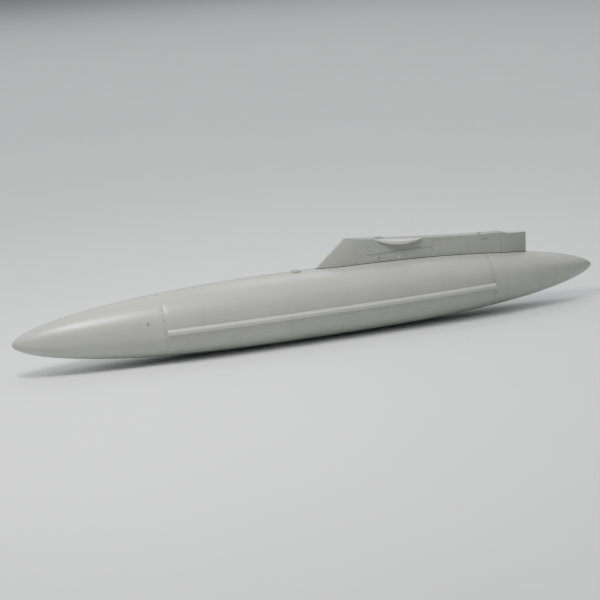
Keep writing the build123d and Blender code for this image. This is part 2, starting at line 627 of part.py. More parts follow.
def make_pylon_sides():
    skin, door, latch = pylon_skin(), access_door(), door_latch()
    hinge_pin = along_x(-HINGE_Y, HINGE_Z, HINGE_PIN, (DOOR_FRONT + 4, DOOR_BACK - 4))
    panel = side_prism(service_outline(DOOR_GAP), WALL)
    panel -= [cross_rod(x, z, 3.1, (-60, -40)) for x, z in service_screw_places()]
    panel -= [cross_rod(x, z, 5.1, (-60, WALL[0] + 1.6)) for x, z in service_screw_places()]
    screws = [cross_rod(x, z, 5, (WALL[0] + 0.2, WALL[0] + 1.5)) + cross_rod(x, z, 3, (WALL[0] + 1, -34))
              for x, z in service_screw_places()]
    slot = block((4664, 4745), (-60, -40), (419, 425))
    stud_hole = cross_rod(4741, 321, 4.2, (-60, -40))
    publish("pylon_skin_left", skin - slot - stud_hole)
    publish("pylon_skin_right", mirrored(skin))
    for side, place in (("left", lambda shape: shape), ("right", mirrored)):
        publish(f"access_door_{side}", place(door))
        publish(f"door_latch_{side}", place(latch))
        publish(f"service_panel_{side}", place(panel))
    publish("door_hinge_pins", group([hinge_pin, mirrored(hinge_pin)]))
    publish("service_panel_screws", group(screws + [mirrored(screw) for screw in screws]))
    louvre = side_prism([(4660, 415), (4660, 429), (4749, 429), (4749, 415)], (WALL[1], WALL[1] + 2))
    for step in range(8):
        louvre -= block((4666 + 10 * step, 4673 + 10 * step), (-60, -30), (420, 424))
    publish("vent_grille", louvre)
    publish("bonding_stud", cross_rod(4741, 321, 8, (WALL[0] - 4, WALL[0]))
            + cross_rod(4741, 321, 4, (WALL[0] - 1, -38)))


def make_pylon_frame():
    inner = PYLON_HALF_WIDTH - PANEL
    core = block((3000, X_PYLON_TAPER - 2), (-inner, inner), (300, 700))
    beam = (tail_block(0) & behind_line(DOOR_GAP) & core) - BEAM_FLOOR
    for low, high in ((3660, 4120), (4180, 4350), (4460, 4540)):
        pocket = through(SIDE_FACE.moved(Location((0, 0, -6)))) & block((low, high), (-38, 38), (300, 700))
        beam -= pocket
    beam -= block((X_FWD_ATTACH - 36, X_FWD_ATTACH + 36), (-31, 31), (480, 700))
    beam -= block((X_AFT_ATTACH - 32, X_AFT_ATTACH + 32), (-31, 31), (400, 700))
    beam -= [post(X_FUEL_LINE, 0, 30, (300, 600)), post(X_AIR_LINE, 0, 17, (300, 600)),
             post(X_CONNECTOR, 0, 17, (300, 600))]
    publish("pylon_beam", beam)
    spar_room = (tail_block(0) & core & BEAM_FLOOR) - BODY_PYLON_FOOT
    hook_window = block((3300, 3560), (-22, 22), (345, 490))
    front = spar_room & behind_line(2) & (behind_line(0) - behind_line(7))
    publish("front_spar", front - hook_window)
    flange_room = block((0, 6000), (-inner + 3, inner - 3), (0, 900))
    ribs = []
    for x in X_PANEL_LINES:
        web = spar_room & slab(x - 2, x + 2)
        flanges = (spar_room & slab(x - 20, x + 20)) - flange_room
        ribs.append(web + flanges - [cross_rod(sx, sz, 3.1, (-60, 60)) for sx, sz in service_screw_places()])
    rack_room = block((DOOR_BACK, X_PANEL_LINES[0] + 30), (-31, 31), (300, 470))
    door_room = block((DOOR_BACK - 10, DOOR_BACK + 10), (-60, 60), (300, 430))
    ribs[0] = ribs[0] - rack_room - door_room
    publish("pylon_ribs", group(ribs + [spar_room & slab(X_PYLON_TAPER - 8, X_PYLON_TAPER - 4)]))


def make_attachments():
    fwd = block((X_FWD_ATTACH - 35, X_FWD_ATTACH + 35), (-30, 30), (Z_FWD_ATTACH - 70, Z_FWD_ATTACH))
    publish("fwd_attach_fitting", fwd - post(X_FWD_ATTACH, 0, ATTACH_BORE, (Z_FWD_ATTACH - 60, 700)))
    top = top_arc_height(X_AFT_ATTACH) + 1
    aft = block((X_AFT_ATTACH - 31, X_AFT_ATTACH + 31), (-30, 30), (top - 60, top))
    publish("aft_attach_fitting", aft - post(X_AFT_ATTACH, 0, ATTACH_BORE, (top - 50, 700)))


def pad():
    """Left half of the lens-shaped pad that bears against the wing's skin."""
    head, foot = 620.0, 440.0
    middle = (PAD_FRONT + PAD_BACK) / 2
    plan = make_face([ThreePointArc((PAD_FRONT, -PYLON_HALF_WIDTH, foot), (PAD_WIDEST, -PAD_HALF_WIDTH, foot),
                                    (PAD_BACK, -PYLON_HALF_WIDTH, foot)),
                      *Polyline((PAD_BACK, -PYLON_HALF_WIDTH, foot), (middle, -20, foot),
                                (PAD_FRONT, -PYLON_HALF_WIDTH, foot)).edges()])
    lens = extrude(plan, head - foot, dir=(0, 0, 1))
    slope = sqrt(1 + PAD_DROOP ** 2)
    crown = SIDE_FACE.moved(Location((0, -PYLON_HALF_WIDTH, -2)))
    droop = extrude(crown, 80 * slope, dir=(0, -1, -PAD_DROOP))
    rim = make_face([ThreePointArc((PAD_FRONT - 20, -200, 566), (PAD_WIDEST, -200, 492), (PAD_BACK + 20, -200, 524)),
                     *Polyline((PAD_BACK + 20, -200, 524), (PAD_BACK + 20, -200, 700),
                               (PAD_FRONT - 20, -200, 700), (PAD_FRONT - 20, -200, 566)).edges()])
    return (lens & droop & extrude(rim, 200, dir=(0, 1, 0))) - block((3000, 5000), (-PYLON_HALF_WIDTH, 99), (0, 900))


def make_pads():
    left = pad()
    publish("wing_pad_left", left)
    publish("wing_pad_right", mirrored(left))


# ---------------------------------------------------------------- release unit
def lever_bar(x, z, y, root_radius=18.0, tip_radius=10.0):
    """Rounded lever from a pivot to its pin, in the slice y[0] to y[1]."""
    dx, dz = polar(LEVER_LENGTH, LEVER_ANGLE)
    bar = Pos(x + dx / 2, (y[0] + y[1]) / 2, z + dz / 2) * Rot(0, -LEVER_ANGLE, 0)
    return (cross_rod(x, z, root_radius, y) + cross_rod(x + dx, z + dz, tip_radius, y)
            + bar * Box(LEVER_LENGTH, y[1] - y[0], 2 * tip_radius))


def lever_pin(x, z, y):
    """Pin at the tip of a lever."""
    dx, dz = polar(LEVER_LENGTH, LEVER_ANGLE)
    return cross_rod(x + dx, z + dz, 5, y)


def sector(x, z, radius, start, stop, y):
    """Wedge of a disc about a pivot."""
    corners = [(x, z)]
    for step in range(9):
        dx, dz = polar(2 * radius, start + (stop - start) * step / 8)
        corners.append((x + dx, z + dz))
    return side_prism(corners, y) & cross_rod(x, z, radius, y)


def hook(x_lug, pin_side):
    """Hook whose claw lies under the bar of a lug and swings clear on its pivot."""
    x, z = x_lug + HOOK_OFFSET_X, LUG_BAR_Z + HOOK_OFFSET_Z
    inner = hypot(HOOK_OFFSET_X, HOOK_OFFSET_Z) + LUG_BAR_RADIUS + 0.6
    outer = inner + 15
    y = (-10, 10)
    claw = sector(x, z, outer, 216, 292, y) - cross_rod(x, z, inner, y)
    arm = sector(x, z, outer - 2, 264, 292, y)
    shape = claw + arm + lever_bar(x, z, y)
    shape += lever_pin(x, z, sorted((0, pin_side * 17.5)))
    return shape - cross_rod(x, z, 8 + RUNNING, (-20, 20))


def link_rod(x_lug, side):
    """Rod from the release shaft's lever to a hook's lever."""
    dx, dz = polar(LEVER_LENGTH, LEVER_ANGLE)
    start = (SHAFT_X + dx, SHAFT_Z + dz)
    end = (x_lug + HOOK_OFFSET_X + dx, LUG_BAR_Z + HOOK_OFFSET_Z + dz)
    y = sorted((side * 12, side * 17))
    length, angle = hypot(end[0] - start[0], end[1] - start[1]), atan2(end[1] - start[1], end[0] - start[0])
    bar = Pos((start[0] + end[0]) / 2, (y[0] + y[1]) / 2, (start[1] + end[1]) / 2)
    rod = bar * Rot(0, -degrees(angle), 0) * Box(length, 5, 10)
    for x, z in (start, end):
        rod += cross_rod(x, z, 9, y)
    for x, z in (start, end):
        rod -= cross_rod(x, z, 5.08, (-30, 30))
    return rod


def rack_plate():
    """Left side plate of the release unit, hung from the pylon's beam."""
    y = (-28, -24)
    outline = [(panel_line_x(352) + 14, 352), (panel_line_x(450) + 14, 450), (4290, 450), (4290, 352)]
    plate = side_prism(outline, y)
    for x in (3565, 3830, 4262):
        plate += block((x - 22, x + 22), y, (440, 700))
    plate = plate & through(SIDE_FACE.moved(Location((0, 0, -BEAM_DEPTH))))
    plate -= [cross_rod(x + HOOK_OFFSET_X, LUG_BAR_Z + HOOK_OFFSET_Z, 8, (-60, 60))
              for x in (X_LUG_FWD, X_LUG_AFT)]
    for x in (3680, 3930, 4060):
        plate -= cross_rod(x, 400, 26, (-60, 60))
    plate -= block((X_FWD_ATTACH - 36, X_FWD_ATTACH + 36), (-60, 60), (Z_FWD_ATTACH - 71, 700))
    return plate - cross_rod(SHAFT_X, SHAFT_Z, 9 + RUNNING, (-60, 60))


def make_release_unit():
    plate = rack_plate()
    publish("rack_side_plates", group([plate, mirrored(plate)]))
    publish("hook_fwd", hook(X_LUG_FWD, 1))
    publish("hook_aft", hook(X_LUG_AFT, -1))
    publish("hook_pivot_pins", group(
        cross_rod(x + HOOK_OFFSET_X, LUG_BAR_Z + HOOK_OFFSET_Z, 8, (-31, 31)) for x in (X_LUG_FWD, X_LUG_AFT)))
    shaft = cross_rod(SHAFT_X, SHAFT_Z, 9, (-38, 38)) + lever_bar(SHAFT_X, SHAFT_Z, (-10, 10))
    shaft += lever_pin(SHAFT_X, SHAFT_Z, (-17.5, 17.5))
    hexagon = Plane.XZ * RegularPolygon(5, 6)
    for y in (-38, 38):
        shaft -= Pos(SHAFT_X, y, SHAFT_Z) * extrude(hexagon, 10, dir=(0, 1, 0), both=True)
    publish("release_shaft", shaft)
    publish("link_rod_fwd", link_rod(X_LUG_FWD, 1))
    publish("link_rod_aft", link_rod(X_LUG_AFT, -1))
    saddles = [block((x, x + 40), (-38, 38), (250, 351.9)) - BODY_CLEAR for x in (3520, 4080)]
    publish("saddle_blocks", group(saddles))


def riser(x, bore, wall, socket, flange):
    """Pipe up the pylon: a socket over the tank's pipe at its foot, a flanged seat at its head."""
    head, foot = top_arc_height(x) + 2, contour(x)
    outer = bore + wall
    pipe = tube(x, 0, socket, outer + 0.3, (foot + 8, foot + 46))
    pipe += tube(x, 0, socket, bore, (foot + 46, foot + 50))
    pipe += tube(x, 0, outer, bore, (foot + 50, head - 20))
    return pipe + tube(x, 0, flange, bore, (head - 22, head))


def make_pylon_systems():
    publish("fuel_riser", riser(X_FUEL_LINE, FUEL_LINE_RADIUS - 2, 2, 26, 29.5))
    publish("air_riser", riser(X_AIR_LINE, AIR_LINE_RADIUS - 2, 2, 15, 16.5))
    head = top_arc_height(X_CONNECTOR)
    plug = post(X_CONNECTOR, 0, 16.5, (head - 40, head + 2))
    plug -= post(X_CONNECTOR, 0, 13, (head - 8, head + 5))
    for step in range(8):
        dx, dy = polar(8, 45 * step)
        plug += post(X_CONNECTOR + dx, dy, 1, (head - 9, head - 1))
    publish("electrical_connector", plug)


make_tank_skins()
make_frames()
make_strakes()
make_filler()
make_earthing_stud()
make_strongback()
make_tank_systems()
make_drain()
make_pylon_ends()
make_pylon_sides()
make_pylon_frame()
make_attachments()
make_pads()
make_release_unit()
make_pylon_systems()
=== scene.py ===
import json
from math import acos, cos, degrees, pi, radians, sin

import bmesh
import bpy
from mathutils import Matrix, Vector


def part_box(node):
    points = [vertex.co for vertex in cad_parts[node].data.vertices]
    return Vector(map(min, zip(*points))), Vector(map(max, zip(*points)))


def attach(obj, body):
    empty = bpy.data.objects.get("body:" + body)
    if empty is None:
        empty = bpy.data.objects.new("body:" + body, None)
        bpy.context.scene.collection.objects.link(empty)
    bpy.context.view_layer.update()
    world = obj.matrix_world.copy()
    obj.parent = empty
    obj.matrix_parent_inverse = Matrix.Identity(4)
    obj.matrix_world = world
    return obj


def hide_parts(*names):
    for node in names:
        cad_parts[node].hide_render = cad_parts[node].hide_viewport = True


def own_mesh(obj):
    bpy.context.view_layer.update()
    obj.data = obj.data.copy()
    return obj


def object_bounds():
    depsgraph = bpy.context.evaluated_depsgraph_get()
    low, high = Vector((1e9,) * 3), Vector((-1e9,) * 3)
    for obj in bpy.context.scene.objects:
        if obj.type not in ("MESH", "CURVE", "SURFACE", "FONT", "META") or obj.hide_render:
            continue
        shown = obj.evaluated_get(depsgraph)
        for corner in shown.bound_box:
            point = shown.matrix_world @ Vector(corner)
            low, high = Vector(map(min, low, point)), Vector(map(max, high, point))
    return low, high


# An aircraft's underwing fuel tank with its pylon. Metres, in the part's own frame: X aft,
# Y to the right-hand side, Z up, origin at the top centre of the forward attachment.
# Stations along the tank are measured from its nose tip, and heights from its axis.

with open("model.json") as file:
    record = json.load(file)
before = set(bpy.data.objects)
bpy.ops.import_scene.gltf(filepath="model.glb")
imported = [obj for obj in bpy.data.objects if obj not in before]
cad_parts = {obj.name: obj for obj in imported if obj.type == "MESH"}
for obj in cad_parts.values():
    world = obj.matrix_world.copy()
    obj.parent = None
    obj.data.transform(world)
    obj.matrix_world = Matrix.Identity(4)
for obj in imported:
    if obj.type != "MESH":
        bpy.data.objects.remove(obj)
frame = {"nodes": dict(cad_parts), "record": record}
cad_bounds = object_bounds()

# ---------------------------------------------------------------- driving dimensions
NOSE_TIP_X, AXIS_Z = -3.600, -0.574
TANK_LENGTH, TANK_RADIUS = 5.900, 0.335
NOSE_SHOULDER, TAIL_SHOULDER = 2.644, 2.844
NOSE_POWERS, TAIL_POWERS = (2.2, 0.55), (2.6, 0.60)
SKIN = 0.0025
JOINT_HALF_GAP = 0.002
NOSE_JOINT, TAIL_JOINT, CAP_JOINT = 1.386, 4.708, 5.565
HALF_SEAM = 0.0004
EDGE_ROUND = 0.0012
EDGE_CORNER = ((0.0, 1.0), (0.3, 0.3), (1.0, 0.0))
TURN_STEP = 1.25
SEGMENTS = 288

SCREW_INSET, SCREW_HOLE, SCREW_DEPTH = 0.014, 0.0064, 0.012
JOINT_SCREWS, CAP_SCREWS = 24, 12
STUD_STATION, STUD_TURN = 1.225, radians(-68)
STUD_HOLE, STUD_DEPTH = 0.0043, 0.04
TOP_OPENINGS = {
    "filler": (2.744, 0.037),
    "forward_lug": (3.440, 0.026),
    "aft_lug": (4.202, 0.026),
    "fuel_line": (4.400, 0.023),
    "air_line": (4.580, 0.012),
}
DRAIN_OPENING = (3.600, 0.025)
TOP_HEIGHTS, FOOT_HEIGHTS = (0.25, 0.40), (-0.40, -0.25)

MAIN_BODY = "tank_and_pylon"


# ---------------------------------------------------------------- the tank's outer shape
def tank_radius(x):
    """Radius of the tank at a station."""
    if x < TANK_LENGTH / 2:
        shoulder, tip, powers = NOSE_SHOULDER, 0.0, NOSE_POWERS
    else:
        shoulder, tip, powers = TAIL_SHOULDER, TANK_LENGTH, TAIL_POWERS
    ratio = min(1.0, max(0.0, (shoulder - x) / (shoulder - tip)))
    return TANK_RADIUS * (1 - ratio ** powers[0]) ** powers[1]


def end_turns(x_low, x_high, shoulder, tip):
    """Stations between two others on one end of the tank, closer together towards its tip."""
    low, high = (degrees(acos((shoulder - x) / (shoulder - tip))) for x in (x_low, x_high))
    count = max(2, round(abs(high - low) / TURN_STEP))
    turns = [radians(low + (high - low) * step / count) for step in range(count + 1)]
    return [shoulder - (shoulder - tip) * cos(turn) for turn in turns]


def stations(x_low, x_high):
    """Stations for a smooth outline between two others."""
    found = []
    if x_low < NOSE_SHOULDER:
        found += end_turns(x_low, min(x_high, NOSE_SHOULDER), NOSE_SHOULDER, 0.0)
    if x_high > TAIL_SHOULDER:
        found += end_turns(max(x_low, TAIL_SHOULDER), x_high, TAIL_SHOULDER, TANK_LENGTH)
    return found


def tank_point(x, radius, angle):
    """Point in the part's frame; the angle is from straight up, towards the right-hand side."""
    return Vector((NOSE_TIP_X + x, radius * sin(angle), AXIS_Z + radius * cos(angle)))


def skin_profile(x_low, x_high):
    """Closed outline (station, radius) of a length of skin, with rounded outer edges."""
    outer = [(x, tank_radius(x)) for x in stations(x_low, x_high)]
    inner = [(x, max(0.0, radius - SKIN)) for x, radius in reversed(outer)]
    low_radius, high_radius = outer[0][1], outer[-1][1]
    if x_low > 0:
        outer[0:1] = [(x_low + EDGE_ROUND * along, low_radius - EDGE_ROUND * down)
                      for along, down in EDGE_CORNER]
    if x_high < TANK_LENGTH:
        outer[-1:] = [(x_high - EDGE_ROUND * along, high_radius - EDGE_ROUND * down)
                      for along, down in reversed(EDGE_CORNER)]
    return outer + inner


def revolved(name, profile, start=0.0, stop=2 * pi):
    """Mesh object made by turning a closed outline round the tank's axis, all the way or part."""
    full = stop - start > 2 * pi - 0.001
    steps = max(3, round(SEGMENTS * (stop - start) / (2 * pi)))
    mesh = bmesh.new()
    rings = []
    for step in range(steps if full else steps + 1):
        angle = start + (stop - start) * step / steps
        rings.append([mesh.verts.new(tank_point(x, radius, angle)) for x, radius in profile])
    count = len(profile)
    pairs = zip(rings, rings[1:] + rings[:1]) if full else zip(rings, rings[1:])
    for ring, following in pairs:
        for index in range(count):
            after = (index + 1) % count
            mesh.faces.new((ring[index], ring[after], following[after], following[index]))
    if not full:
        mesh.faces.new(rings[0])
        mesh.faces.new(list(reversed(rings[-1])))
    bmesh.ops.remove_doubles(mesh, verts=mesh.verts, dist=1e-6)
    bmesh.ops.triangulate(mesh, faces=[face for face in mesh.faces if len(face.verts) > 4],
                          ngon_method="EAR_CLIP")
    bmesh.ops.recalc_face_normals(mesh, faces=mesh.faces)
    return piece_from(mesh, name)


def piece_from(mesh, name):
    """Object holding a bmesh."""
    data = bpy.data.meshes.new(name)
    mesh.to_mesh(data)
    mesh.free()
    made = bpy.data.objects.new(name, data)
    bpy.context.scene.collection.objects.link(made)
    return made


def cutter(placements):
    """One mesh of cylinders, each (matrix, radius, depth) with its axis along the matrix's Z."""
    mesh = bmesh.new()
    for matrix, radius, depth in placements:
        bmesh.ops.create_cone(mesh, cap_ends=True, segments=40, radius1=radius, radius2=radius,
                              depth=depth, matrix=matrix)
    return piece_from(mesh, "cutter")


def cut(piece, placements):
    """Cut cylinders out of a piece for good."""
    tool = cutter(placements)
    modifier = piece.modifiers.new("holes", "BOOLEAN")
    modifier.operation, modifier.solver, modifier.object = "DIFFERENCE", "EXACT", tool
    graph = bpy.context.evaluated_depsgraph_get()
    result = bpy.data.meshes.new_from_object(piece.evaluated_get(graph))
    piece.modifiers.clear()
    piece.data = result
    bpy.data.objects.remove(tool)


def square_to_skin(x, angle):
    """Matrix at a point on the skin, with Z straight out from the tank's axis."""
    return Matrix.Translation(tank_point(x, tank_radius(x), angle)) @ Matrix.Rotation(-angle, 4, "X")


def screw_holes(x, count):
    """Holes for a ring of joint screws."""
    return [(square_to_skin(x, 2 * pi * (index + 0.5) / count), SCREW_HOLE, SCREW_DEPTH)
            for index in range(count)]


def upright_hole(opening, heights):
    """Hole (station, radius) on the tank's centre line, between two heights above the axis."""
    x, radius = opening
    low, high = heights
    return Matrix.Translation((NOSE_TIP_X + x, 0, AXIS_Z + (low + high) / 2)), radius, high - low


def smooth(piece, angle=32):
    """Smooth shading with sharp edges where faces meet at more than an angle."""
    piece.data.shade_smooth()
    piece.data.set_sharp_from_angle(angle=radians(angle))


def tank_skins(paint):
    """Smooth skins that stand for the CAD skins, with every hole."""
    seam = HALF_SEAM / TANK_RADIUS
    nose = skin_profile(0.0, NOSE_JOINT - JOINT_HALF_GAP)
    centre = skin_profile(NOSE_JOINT + JOINT_HALF_GAP, TAIL_JOINT - JOINT_HALF_GAP)
    tail = skin_profile(TAIL_JOINT + JOINT_HALF_GAP, CAP_JOINT - JOINT_HALF_GAP)
    tip = skin_profile(CAP_JOINT + JOINT_HALF_GAP, TANK_LENGTH)
    stud_hole = (square_to_skin(STUD_STATION, STUD_TURN), STUD_HOLE, STUD_DEPTH)
    made = {
        "nose_cone": (revolved("nose_skin", nose),
                      [*screw_holes(NOSE_JOINT - SCREW_INSET, JOINT_SCREWS), stud_hole]),
        "centre_skin_upper": (revolved("centre_upper", centre, -pi / 2 + seam, pi / 2 - seam),
                              [upright_hole(opening, TOP_HEIGHTS) for opening in TOP_OPENINGS.values()]),
        "centre_skin_lower": (revolved("centre_lower", centre, pi / 2 + seam, 3 * pi / 2 - seam),
                              [upright_hole(DRAIN_OPENING, FOOT_HEIGHTS)]),
        "tail_cone": (revolved("tail_skin", tail), screw_holes(TAIL_JOINT + SCREW_INSET, JOINT_SCREWS)),
        "tail_cap": (revolved("tail_tip", tip), screw_holes(CAP_JOINT + SCREW_INSET, CAP_SCREWS)),
    }
    for node, (piece, holes) in made.items():
        cut(piece, holes)
        smooth(piece)
        piece.data.materials.clear()
        piece.data.materials.append(paint)
        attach(piece, MAIN_BODY)
        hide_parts(node)


# ---------------------------------------------------------------- drain valve's spring
SPRING_WIRE, SPRING_COILS, SPRING_STEPS = 0.001, 4.5, 180
WIRE_SIDES = 12


def drain_spring(steel):
    """Coil spring that stands for the CAD spring."""
    low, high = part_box("drain_spring")
    coil_radius = (high.x - low.x) / 2 - SPRING_WIRE
    foot = Vector(((low.x + high.x) / 2, (low.y + high.y) / 2, low.z + SPRING_WIRE))
    rise = high.z - low.z - 2 * SPRING_WIRE
    up = Vector((0, 0, 1))
    mesh = bmesh.new()
    rings = []
    for step in range(SPRING_STEPS + 1):
        turn = 2 * pi * SPRING_COILS * step / SPRING_STEPS
        outward = Vector((cos(turn), sin(turn), 0))
        centre = foot + outward * coil_radius + up * (rise * step / SPRING_STEPS)
        angles = [2 * pi * side / WIRE_SIDES for side in range(WIRE_SIDES)]
        rings.append([mesh.verts.new(centre + (outward * cos(angle) + up * sin(angle)) * SPRING_WIRE)
                      for angle in angles])
    for ring, following in zip(rings, rings[1:]):
        for index in range(WIRE_SIDES):
            after = (index + 1) % WIRE_SIDES
            mesh.faces.new((ring[index], ring[after], following[after], following[index]))
    mesh.faces.new(rings[0])
    mesh.faces.new(list(reversed(rings[-1])))
    bmesh.ops.recalc_face_normals(mesh, faces=mesh.faces)
    spring = piece_from(mesh, "coil_spring")
    smooth(spring, 50)
    spring.data.materials.append(steel)
    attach(spring, MAIN_BODY)
    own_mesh(spring)
    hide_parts("drain_spring")


# ---------------------------------------------------------------- materials
class Surface:
    """A procedural material in the making: a principled shader and shorthand for its nodes."""

    def __init__(self, name, roughness, metallic=0.0, **constants):
        self.material = bpy.data.materials.new(name)
        self.material.use_nodes = True
        self.tree = self.material.node_tree
        self.shader = self.tree.nodes["Principled BSDF"]
        self.shader.inputs["Roughness"].default_value = roughness
        self.shader.inputs["Metallic"].default_value = metallic
        for socket, value in constants.items():
            self.shader.inputs[socket.replace("_", " ")].default_value = value
        self.place = self.node("ShaderNodeTexCoord").outputs["Object"]

    def node(self, kind, **settings):
        made = self.tree.nodes.new(kind)
        for key, value in settings.items():
            setattr(made, key, value)
        return made

    def link(self, source, target):
        self.tree.links.new(source, target)

    def feed(self, target, value):
        """Give a socket a constant, or link it to another node's output."""
        if isinstance(value, bpy.types.NodeSocket):
            self.link(value, target)
        else:
            target.default_value = value

    def noise(self, scale, detail=4.0, roughness=0.55, stretch=(1, 1, 1)):
        mapping = self.node("ShaderNodeMapping")
        mapping.inputs["Scale"].default_value = stretch
        self.link(self.place, mapping.inputs["Vector"])
        made = self.node("ShaderNodeTexNoise")
        made.inputs["Scale"].default_value = scale
        made.inputs["Detail"].default_value = detail
        made.inputs["Roughness"].default_value = roughness
        self.link(mapping.outputs["Vector"], made.inputs["Vector"])
        return made.outputs["Fac"]

    def ramp(self, value, low, high, to_low=0.0, to_high=1.0):
        made = self.node("ShaderNodeMapRange", clamp=True)
        self.link(value, made.inputs["Value"])
        for socket, number in zip(("From Min", "From Max", "To Min", "To Max"), (low, high, to_low, to_high)):
            made.inputs[socket].default_value = number
        return made.outputs["Result"]

    def maths(self, operation, first, second):
        made = self.node("ShaderNodeMath", operation=operation)
        self.feed(made.inputs[0], first)
        self.feed(made.inputs[1], second)
        return made.outputs[0]

    def blend(self, factor, first, second):
        made = self.node("ShaderNodeMix", data_type="RGBA")
        self.feed(made.inputs["Factor"], factor)
        self.feed(made.inputs[6], first)
        self.feed(made.inputs[7], second)
        return made.outputs[2]

    def edges(self, radius):
        """Mask of the edges within a radius, from how far a rounded normal leans."""
        bevel = self.node("ShaderNodeBevel", samples=4)
        bevel.inputs["Radius"].default_value = radius
        geometry = self.node("ShaderNodeNewGeometry")
        dot = self.node("ShaderNodeVectorMath", operation="DOT_PRODUCT")
        self.link(bevel.outputs["Normal"], dot.inputs[0])
        self.link(geometry.outputs["Normal"], dot.inputs[1])
        return self.ramp(dot.outputs["Value"], 0.995, 0.90)

    def colour(self, value):
        self.feed(self.shader.inputs["Base Color"], value)

    def rough(self, value):
        self.link(value, self.shader.inputs["Roughness"])

    def metal(self, value):
        self.link(value, self.shader.inputs["Metallic"])

    def bump(self, height, strength, distance):
        made = self.node("ShaderNodeBump")
        made.inputs["Strength"].default_value = strength
        made.inputs["Distance"].default_value = distance
        self.link(height, made.inputs["Height"])
        self.link(made.outputs["Normal"], self.shader.inputs["Normal"])


def shade(colour, factor):
    """Colour with every channel scaled, as RGBA."""
    return (*[min(1.0, channel * factor) for channel in colour], 1.0)


def sprayed_paint(name, colour, mottle=0.05, wear=0.5, streaks=0.05):
    """Semi-matt sprayed paint: mottled, faintly streaked down the sides, worn to primer on edges."""
    s = Surface(name, 0.36, Coat_Weight=0.25, Coat_Roughness=0.28)
    patch = s.ramp(s.noise(1.7, 5), 0.35, 0.65)
    body = s.blend(patch, shade(colour, 1 - mottle), shade(colour, 1 + mottle))
    run = s.ramp(s.noise(9.0, 3, stretch=(1.0, 0.12, 0.12)), 0.55, 0.75, 0.0, streaks * 6)
    body = s.blend(run, body, shade(colour, 0.82))
    speck = s.ramp(s.noise(260.0, 2), 0.66, 0.74, 0.0, 0.25)
    body = s.blend(speck, body, shade(colour, 0.75))
    grime = s.maths("MULTIPLY", s.edges(0.009), s.ramp(s.noise(12.0, 5), 0.30, 0.65, 0.15, 0.50))
    body = s.blend(grime, body, shade(colour, 0.45))
    rub = s.maths("MULTIPLY", s.edges(0.0022), s.ramp(s.noise(55.0, 5, 0.7), 0.46, 0.60, 0.0, wear))
    s.colour(s.blend(rub, body, (0.50, 0.51, 0.48, 1)))
    s.rough(s.ramp(s.noise(6.0, 5), 0.3, 0.7, 0.29, 0.42))
    s.bump(s.noise(330.0, 2), 0.10, 0.0006)
    return s.material


def primed_alloy(name, colour):
    """Chromate primer brushed over machined alloy, scuffed through on edges."""
    s = Surface(name, 0.55)
    body = s.blend(s.ramp(s.noise(14.0, 6), 0.35, 0.65), shade(colour, 0.88), shade(colour, 1.10))
    rub = s.maths("MULTIPLY", s.edges(0.0015), s.ramp(s.noise(90.0, 5, 0.7), 0.42, 0.58))
    s.colour(s.blend(rub, body, (0.62, 0.63, 0.64, 1)))
    s.metal(s.ramp(rub, 0.2, 0.8))
    s.rough(s.ramp(s.noise(40.0, 4), 0.3, 0.7, 0.48, 0.66))
    s.bump(s.noise(500.0, 3), 0.18, 0.0004)
    return s.material


def bare_metal(name, colour, roughness=0.34, brush=(1.0, 1.0, 14.0), tarnish=0.14):
    """Bare or plated metal with a directional brushed grain and light tarnish."""
    s = Surface(name, roughness, 1.0)
    dull = s.ramp(s.noise(35.0, 6, 0.65), 0.42, 0.70)
    body = s.blend(dull, shade(colour, 1.08), shade(colour, 1 - tarnish))
    rub = s.maths("MULTIPLY", s.edges(0.0010), 0.6)
    s.colour(s.blend(rub, body, shade(colour, 1.35)))
    s.rough(s.ramp(s.noise(70.0, 5, stretch=brush), 0.3, 0.7, roughness - 0.08, roughness + 0.12))
    s.bump(s.noise(420.0, 2, stretch=brush), 0.12, 0.0003)
    return s.material


def moulded(name, colour, roughness, grain=900.0, dust=0.25):
    """Rubber or moulded plastic: fine grain, with a film of pale dust in patches."""
    s = Surface(name, roughness)
    body = s.blend(s.ramp(s.noise(22.0, 6), 0.40, 0.70, 0.0, dust), shade(colour, 1.0), shade(colour, 2.4))
    scuff = s.maths("MULTIPLY", s.edges(0.0012), s.ramp(s.noise(140.0, 4), 0.48, 0.60, 0.0, 0.5))
    s.colour(s.blend(scuff, body, shade(colour, 3.0)))
    s.rough(s.ramp(s.noise(60.0, 4), 0.3, 0.7, roughness - 0.08, roughness + 0.08))
    s.bump(s.noise(grain, 2), 0.22, 0.0003)
    return s.material


def foam(name, colour):
    """Closed-cell float: pale cells with a mottled, fuel-stained face."""
    s = Surface(name, 0.8)
    cells = s.node("ShaderNodeTexVoronoi", feature="DISTANCE_TO_EDGE")
    cells.inputs["Scale"].default_value = 700.0
    s.link(s.place, cells.inputs["Vector"])
    stain = s.ramp(s.noise(25.0, 5), 0.45, 0.75, 0.0, 0.6)
    s.colour(s.blend(stain, shade(colour, 1.0), shade(colour, 0.7)))
    s.rough(s.ramp(s.noise(90.0, 3), 0.3, 0.7, 0.7, 0.9))
    s.bump(cells.outputs["Distance"], 0.3, 0.0005)
    return s.material


def studio_floor():
    """Pale floor with the faintest unevenness."""
    s = Surface("floor_paint", 0.75)
    tone = (0.56, 0.57, 0.58)
    s.colour(s.blend(s.ramp(s.noise(0.8, 3), 0.3, 0.7), shade(tone, 0.985), shade(tone, 1.01)))
    s.bump(s.noise(60.0, 3), 0.03, 0.001)
    return s.material


